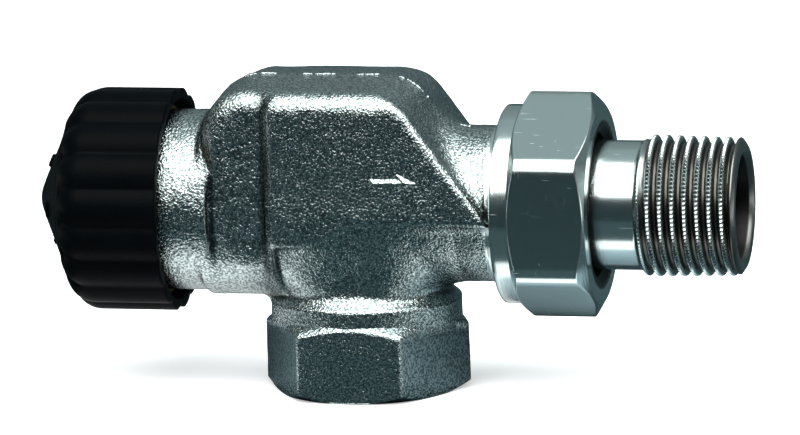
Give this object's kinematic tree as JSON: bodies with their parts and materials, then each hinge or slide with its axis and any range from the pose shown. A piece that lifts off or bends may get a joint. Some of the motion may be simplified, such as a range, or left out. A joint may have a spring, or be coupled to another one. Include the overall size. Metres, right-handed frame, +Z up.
{
  "type": "radiator valve body",
  "caption": "Axial radiator valve body with a raised flow hump, a sprung insert under a fluted protective cap, and a union nut holding a threaded tailpiece.",
  "frame": {"origin": "centre of the inlet's mouth, on the inlet axis", "axes": "+X along the valve axis from the cap towards the tailpiece, +Z up from the inlet's mouth, -Y the side that the picture shows"},
  "size_m": [0.1064, 0.033, 0.0472],
  "materials": {
    "plated_casting": "nickel-plated, sand-cast grain",
    "plated_turned": "nickel-plated, turned smooth",
    "brass": "machined",
    "steel": "bright",
    "rubber": "matt",
    "bush_plastic": "satin",
    "cap_plastic": "satin, moulded"
  },
  "bodies": {
    "housing": {"valve_body": "plated_casting", "insert_bonnet": "brass", "bonnet_oring": "rubber", "gland_nut": "brass", "gland_oring": "rubber", "stem_oring_outer": "rubber", "stem_washer": "steel", "stem_oring_inner": "rubber", "guide_bush": "bush_plastic", "spring_seat": "steel", "return_spring": "steel"},
    "spindle": {"push_pin": "steel", "spindle": "brass", "disc_carrier": "brass", "disc_seal": "rubber", "disc_washer": "steel", "disc_nut": "brass"},
    "cap": {"protective_cap": "cap_plastic"},
    "tail": {"tailpiece": "plated_turned"},
    "nut": {"union_nut": "plated_turned"}
  },
  "joints": [
    {"name": "spindle_slide", "type": "slide", "parent": "housing", "child": "spindle", "axis": [1, 0, 0], "range_m": [0, 0.00225], "deforming": ["return_spring"]},
    {"name": "cap_turn", "type": "hinge", "parent": "spindle", "child": "cap", "pos_m": [-0.0387, 0, 0.0278], "axis": [1, 0, 0], "range_deg": [0, 540]},
    {"name": "tail_draw", "type": "slide", "parent": "housing", "child": "tail", "axis": [1, 0, 0], "range_m": [0, 0.00726]},
    {"name": "nut_turn", "type": "hinge", "parent": "tail", "child": "nut", "pos_m": [0.0288, 0, 0.0278], "axis": [1, 0, 0], "range_deg": [0, 1440]}
  ],
  "couplings": [
    {"joint": "spindle_slide", "follows": "cap_turn", "m_per_rad": 0.00023873},
    {"joint": "tail_draw", "follows": "nut_turn", "m_per_rad": 0.00028871}
  ]
}
